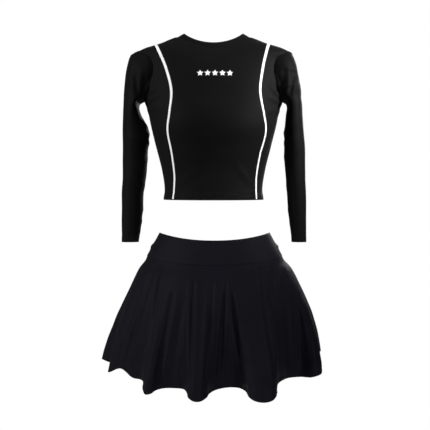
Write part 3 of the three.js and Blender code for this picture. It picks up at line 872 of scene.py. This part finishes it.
# Inside the top.
def lining(name, surface, us, vs, inset, material, nodes, body, slot, clips=(), relief=None, thickness=TAPE,
           step=(1e-3, 1e-4)):
    cloth = Cloth(surface, us, vs, step)
    for clip in clips:
        cloth.clip(clip)
    if relief:
        cloth.relief(relief)
    cloth.offset(-inset)
    return place(thick(name, cloth, material, thickness), body, slot, *nodes)


hem_band = np.linspace(TOP_HEM + 1.2 * MM, TOP_HEM + 22 * MM, 22)
hem_elastic = lining("top_hem_elastic_tape", top_surface, np.linspace(1e-3, TAU - 1e-3, 300), hem_band,
                     2.2 * MM, ELASTIC,
                     ["top_hem_elastic"], "top", "elastic_tape")
neck_tape = lining("back_neck_binding", neck_surface, np.linspace(0.35, math.pi - 0.35, 80),
                   np.linspace(0.02, 0.6, 8),
                   2.5 * MM, ELASTIC, ["back_neck_tape"], "top", "elastic_tape", step=(1e-3, 1e-3))
shoulder_rows = rows_of(top_at, 0.436, 0.472, 2.0 * MM)
for side, word in ((1, "left"), (-1, "right")):
    middle = 0 if side > 0 else math.pi
    lining(f"shoulder_seam_tape_{word}", top_surface,
                         np.linspace(middle - 0.16, middle + 0.16, 14),
                         shoulder_rows, 2.0 * MM, ELASTIC, [f"shoulder_tape_{word}"], "top", "elastic_tape",
                         [lambda p: armhole(p, 0.002), lambda p: neck_room(p) - 2 * MM])
size_box, care_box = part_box("size_label"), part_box("care_label")
size_label = lining("size_label_satin", top_surface, np.linspace(math.pi / 2 - 0.24, math.pi / 2 + 0.24, 14),
                    np.linspace(size_box[0].z, size_box[1].z,
                                20), 2.6 * MM, LABEL, ["size_label"], "top", "label_satin",
                    [lambda p: 0.017 - np.abs(p[:, 0])], thickness=0.4 * MM)
care_label = lining("care_label_satin", top_surface, np.linspace(0.08, 0.50, 20),
                    np.linspace(care_box[0].z, care_box[1].z,
                                20), 2.6 * MM, LABEL, ["care_label"], "top", "label_satin",
                    thickness=0.4 * MM)


# ---------- Sleeves ----------

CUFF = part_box("sleeve_left")[0].z


def sleeve_relief(side):
    def relief(p):
        front = np.clip(0.5 - p[..., 1] / 0.03, 0, 1)
        made = front * folds(p, FOLDS_FRONT) + (1 - front) * folds(p, FOLDS_BACK)
        z, x, y = p[..., 2], np.abs(p[..., 0]), p[..., 1]
        inner = np.clip((0.205 - x) / 0.03, 0, 1)
        for k, (height, size, width) in enumerate(((0.258, 1.5, 6), (0.240, 1.9, 7), (0.222, 1.3, 6),
                                                   (0.184, 0.9, 8),
                                                   (0.120, 0.8, 9), (0.060, 0.8, 8), (0.030, 1.0, 7))):
            slant = z - height - 0.35 * (y + 0.01 * math.sin(2.1 * k + side)) * (1 if k % 2 else -1)
            made = made + size * MM * inner * np.exp(-((slant
                                                        / (width * MM)) ** 2)) * (1.3 if side < 0 else 0.9)
        made = made + 0.45 * MM * waves(p, 0.035, 2.0 + side)
        up = z - CUFF
        made = made + 0.4 * MM * np.clip(1 - np.maximum(up - 13 * MM, 0) / (2 * MM), 0, 1)
        made = made + stitch_grooves(up, [11 * MM, 15 * MM])
        e = armhole(p)
        made = made - 0.3 * MM * np.exp(-(((e - 0.3 * MM) / (2.4 * MM)) ** 2)) * (out_of_top(p) < 6 * MM)
        return made
    return relief


cap_rows = SHOULDER_Z + 0.060 * np.sin(np.radians(np.linspace(2, 86, 24)))
sleeve_rows = np.unique(np.round(np.concatenate([
    np.arange(CUFF, CUFF + 0.0175, 1.0 * MM), np.arange(CUFF + 0.0175, 0.300, 3.4 * MM), np.arange(0.300,
            0.350, 1.8 * MM),
    np.arange(0.350, SHOULDER_Z, 3.0 * MM), cap_rows]), 6))
sleeves, cuffs, cuff_threads = {}, {}, {}
for side, word in ((1, "left"), (-1, "right")):
    surface = sleeve_surface(side)
    # The angle runs round the outside in both, so that the cloth faces out.
    cloth = Cloth(surface, np.linspace(0, TAU, 132, endpoint=False), sleeve_rows, closed=True)

    def shown(p):
        out = out_of_top(p)
        tucked = np.minimum(out + 4.5 * MM, -armhole(p, -0.0004))
        return np.maximum(np.minimum(out - 0.2 * MM, armhole(p, -0.0004) + 4 * MM), tucked)

    cloth.clip(shown).relief(sleeve_relief(side))
    sleeve = thick(f"sleeve_cloth_{word}", cloth, BLACK)
    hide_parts(f"sleeve_{word}")
    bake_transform(sleeve)
    sleeves[word] = sleeve
    ring = np.linspace(0, TAU, 120, endpoint=False)
    hem = Cloth(surface, ring, np.linspace(CUFF + 1.2 * MM, CUFF + 17 * MM, 12), closed=True)
    hem.offset(-2.2 * MM)
    cuffs[word] = place(thick(f"cuff_hem_cloth_{word}", hem, INSIDE), f"sleeve_{word}", "top_knit",
                        f"cuff_hem_{word}")
    turn = np.linspace(0, TAU, 241)
    lines = [line_on(surface, turn, 0 * turn + CUFF + h * MM, sleeve_relief(side)) for h in (11, 15)]
    cuff_threads[word] = place(stitches(f"cuff_stitches_{word}", lines, THREAD, pitch=3.2 * MM),
                               f"sleeve_{word}", "top_knit")

# ---------- Skirt ----------

band_shares = np.linspace(0, 0.985, 26)


def band_relief(p):
    made = 0.5 * MM * waves(p, 0.05, 4.0)
    return made - 0.8 * MM * np.exp(-((p[..., 1] / (1.6 * MM)) ** 2))


def waistband(name, low, high, node):
    """Outer layer with its rounded top fold."""
    us = dense_ends(low, high, 150)
    cloth = Cloth(band_surface, us, band_shares, (1e-3, 1e-3))
    cloth.relief(band_relief)
    top_row = len(us) * (len(band_shares) - 1)
    rim_p, rim_n = cloth.p[top_row:].copy(), cloth.n[top_row:].copy()
    below = cloth.p[top_row - len(us):top_row]
    up = unit(rim_p - below)
    wall = 2.6 * MM
    base, extra, flats, normals = len(cloth.p), [], [], []
    for k in range(1, 7):
        t = math.pi * k / 7
        extra.append(rim_p - rim_n * wall / 2 * (1 - math.cos(t)) + up * wall / 2 * math.sin(t))
        normals.append(unit(rim_n * math.cos(t) + up * math.sin(t)))
        flats.append(cloth.flat[top_row:] + np.array([0, 1 * MM * k]))
    cloth.p = np.vstack([cloth.p, *extra])
    cloth.n = np.vstack([cloth.n, *normals])
    cloth.flat = np.vstack([cloth.flat, *flats])
    count = len(us)
    rows = [top_row] + [base + k * count for k in range(6)]
    for a, b in zip(rows, rows[1:]):
        for i in range(count - 1):
            cloth.faces.append((a + i, a + i + 1, b + i + 1, b + i))
    return place(thick(name, cloth, BAND, 0.9 * MM), "skirt", "waistband_knit", node)


tiny = 3e-4
band_front = waistband("waistband_front_cloth", -math.pi + tiny, -tiny, "waistband_front")
band_back = waistband("waistband_back_cloth", tiny, math.pi - tiny, "waistband_back")
elastic = lining("waist_elastic_tape", band_surface, np.linspace(1e-3, TAU - 1e-3, 300),
                 np.linspace(0.40, 0.93, 16), 1.5 * MM,
                 ELASTIC, ["waist_elastic"], "skirt", "elastic_tape", step=(1e-3, 1e-3), thickness=0.6 * MM)
facings = [lining(f"waistband_facing_{word}_cloth", band_surface, np.linspace(low, high, 150),
                  np.linspace(0.02, 0.93, 20),
                  2.6 * MM, INSIDE, [f"waistband_facing_{word}"], "skirt", "waistband_knit", step=(1e-3,
                                                                                                   1e-3))
           for word, low, high in (("front", -math.pi + tiny, -tiny), ("back", tiny, math.pi - tiny))]
skirt_label = lining("skirt_label_satin", band_surface,
                     np.linspace(math.pi / 2 - 0.14, math.pi / 2 + 0.14, 12),
                     np.linspace(0.2, 0.8, 14), 3.8 * MM, LABEL, ["skirt_label"], "skirt", "label_satin",
                     step=(1e-3, 1e-3), thickness=0.4 * MM)


# Hollow creases down the front of the skirt, as x0, z0, x1, z1, width, depth in mm.
CREASES = [
    (-45, -106, -51, -322, 4.6, -4.5), (-2, -104, -17, -330, 5.0, -4.5), (28, -98, 12, -300, 4.6, -4.0),
    (40, -122, 66, -312, 4.0, -5.0), (-92, -130, -122, -315, 5.5, -3.5),
    (-139, -74, -200, -288, 5.5, -2.6), (-117, -70, -152, -322, 5.0, -2.2),
    (102, -74, 138, -325, 4.5, -2.5), (162, -84, 174, -290, 6.0, -3.0), (124, -84, 152, -318, 7.0, -4.0),
    (196, -205, 203, -296, 3.6, -1.6), (186, -150, 189, -250, 4.0, -1.2),
    (-70, -150, -92, -318, 6.0, -1.6), (-165, -110, -222, -300, 5.0, -1.6),
    (212, -140, 226, -300, 4.5, -1.4),
]


def skirt_relief(p):
    low = np.clip((-0.08 - p[..., 2]) / 0.15, 0, 1)
    front = np.clip(-p[..., 1] / 0.03, 0, 1)
    return 0.8 * MM * low * waves(p, 0.028, 5.0) * (0.5 + 0.5 * low) + front * folds(p, CREASES)


def skirt_panel(name, low, high, node):
    u0, u1 = seam_parameter(low) + 2e-5, seam_parameter(high) - 2e-5
    count = 460
    us = np.linspace(u0, u1, count)
    # Rows run from the hem up, so that the cloth faces out.
    s = 1 - np.unique(np.round(np.concatenate([np.linspace(0, 0.045, 12), np.linspace(0.045, 0.9, 72),
                                               np.linspace(0.9, 1, 16)]), 6))
    cloth = Cloth(lambda u, v: skirt_surface(u, 1 - v), us, 1 - s, (2e-5, 1e-4))
    depth = np.repeat(s, count) * 0.3
    hem = 0.3 - depth
    swell = 0.35 * MM * np.clip(1 - np.maximum(hem - 7 * MM, 0) / (1.5 * MM), 0, 1) + stitch_grooves(hem,
            [6.5 * MM])
    gather = -0.7 * MM * np.exp(-((depth / (3.0 * MM)) ** 2)) + 0.3 * MM * np.exp(-(((depth - 6 * MM)
                                                                                     / (3 * MM)) ** 2))
    cloth.p = cloth.p + cloth.n * (swell + gather + skirt_relief(cloth.p))[:, None]
    panel = place(thick(name, cloth, SKIRT, 0.9 * MM), "skirt", "skirt_knit", node)
    line = np.linspace(u0, u1, 900)
    p, n = line_on(lambda u, v: skirt_surface(u, 1 - v), line, 0 * line + 6.5 * MM / 0.3, None, (2e-5, 1e-4))
    p = p + n * (skirt_relief(p) + 0.02 * MM)[:, None]
    thread = place(stitches(f"{name}_hem_stitches", [(p, n)], THREAD_NAVY, pitch=3.2 * MM,
                            radius=0.24 * MM), "skirt", "skirt_knit")
    return panel, thread


skirt_front, hem_thread_front = skirt_panel("skirt_front_cloth", -180, 0, "skirt_front_panel")
skirt_back, hem_thread_back = skirt_panel("skirt_back_cloth", 0, 180, "skirt_back_panel")

# ---------- Camera, light, floor ----------

scene = bpy.context.scene
camera = bpy.data.objects.new("camera", bpy.data.cameras.new("camera"))
camera.data.sensor_width = 36
camera.data.lens = 58.9
camera.location = (0.0035, -1.7, 0.048)
camera.rotation_euler = (math.radians(90), 0, 0)
scene.collection.objects.link(camera)
scene.camera = camera
scene.view_settings.view_transform = "Standard"

world = bpy.data.worlds.new("studio")
world.use_nodes = True
tree = world.node_tree
background = tree.nodes["Background"]
background.inputs["Color"].default_value = (1, 1, 1, 1)
background.inputs["Strength"].default_value = 1.0
soft = tree.nodes.new("ShaderNodeBackground")
soft.inputs["Color"].default_value = (0.95, 0.97, 1, 1)
soft.inputs["Strength"].default_value = 0.13
path = tree.nodes.new("ShaderNodeLightPath")
pick = tree.nodes.new("ShaderNodeMixShader")
tree.links.new(path.outputs["Is Camera Ray"], pick.inputs[0])
tree.links.new(soft.outputs[0], pick.inputs[1])
tree.links.new(background.outputs[0], pick.inputs[2])
tree.links.new(pick.outputs[0], tree.nodes["World Output"].inputs["Surface"])
scene.world = world


def lamp(name, place_at, target, size, power, height=None):
    data = bpy.data.lights.new(name, "AREA")
    data.shape = "RECTANGLE"
    data.size, data.size_y = size, height or size
    data.energy = power
    obj = bpy.data.objects.new(name, data)
    obj.location = place_at
    obj.rotation_euler = (Vector(target) - Vector(place_at)).to_track_quat("-Z", "Y").to_euler()
    scene.collection.objects.link(obj)
    return obj


lamp("key", (-2.1, -1.0, 1.0), (0, 0, 0.0), 0.7, 58, 1.4)
grid = lamp("side_light", (1.9, -0.55, 1.0), (0.15, -0.02, 0.38), 0.5, 3.0)
grid.data.spread = math.radians(24)
fill = lamp("skirt_fill", (0.9, -1.9, -0.2), (0.06, 0, -0.24), 0.7, 1.1)
fill.data.spread = math.radians(34)
lamp("top_light", (-0.1, -0.5, 2.3), (0, 0, 0.2), 1.0, 11)
lamp("rim", (0.9, 2.0, 1.0), (0, 0, 0.05), 1.2, 48)

floor_material, tree, bsdf = nodes_of("pale_floor")
bsdf.inputs["Base Color"].default_value = (0.86, 0.86, 0.85, 1)
bsdf.inputs["Roughness"].default_value = 0.85
grain = tree.nodes.new("ShaderNodeTexNoise")
grain.inputs["Scale"].default_value = 60
ramp = tree.nodes.new("ShaderNodeMix")
ramp.data_type = "RGBA"
ramp.inputs["A"].default_value = (0.84, 0.84, 0.83, 1)
ramp.inputs["B"].default_value = (0.88, 0.88, 0.87, 1)
link(tree, grain.outputs[0], ramp.inputs["Factor"])
link(tree, ramp.outputs["Result"], bsdf.inputs["Base Color"])
floor_z = cad_low.z - 0.41
floor = mesh_object("floor", [(-2, -1.6, floor_z), (2, -1.6, floor_z), (2, 0.85, floor_z),
                              (-2, 0.85, floor_z)],
                    [(0, 1, 2, 3)], floor_material)
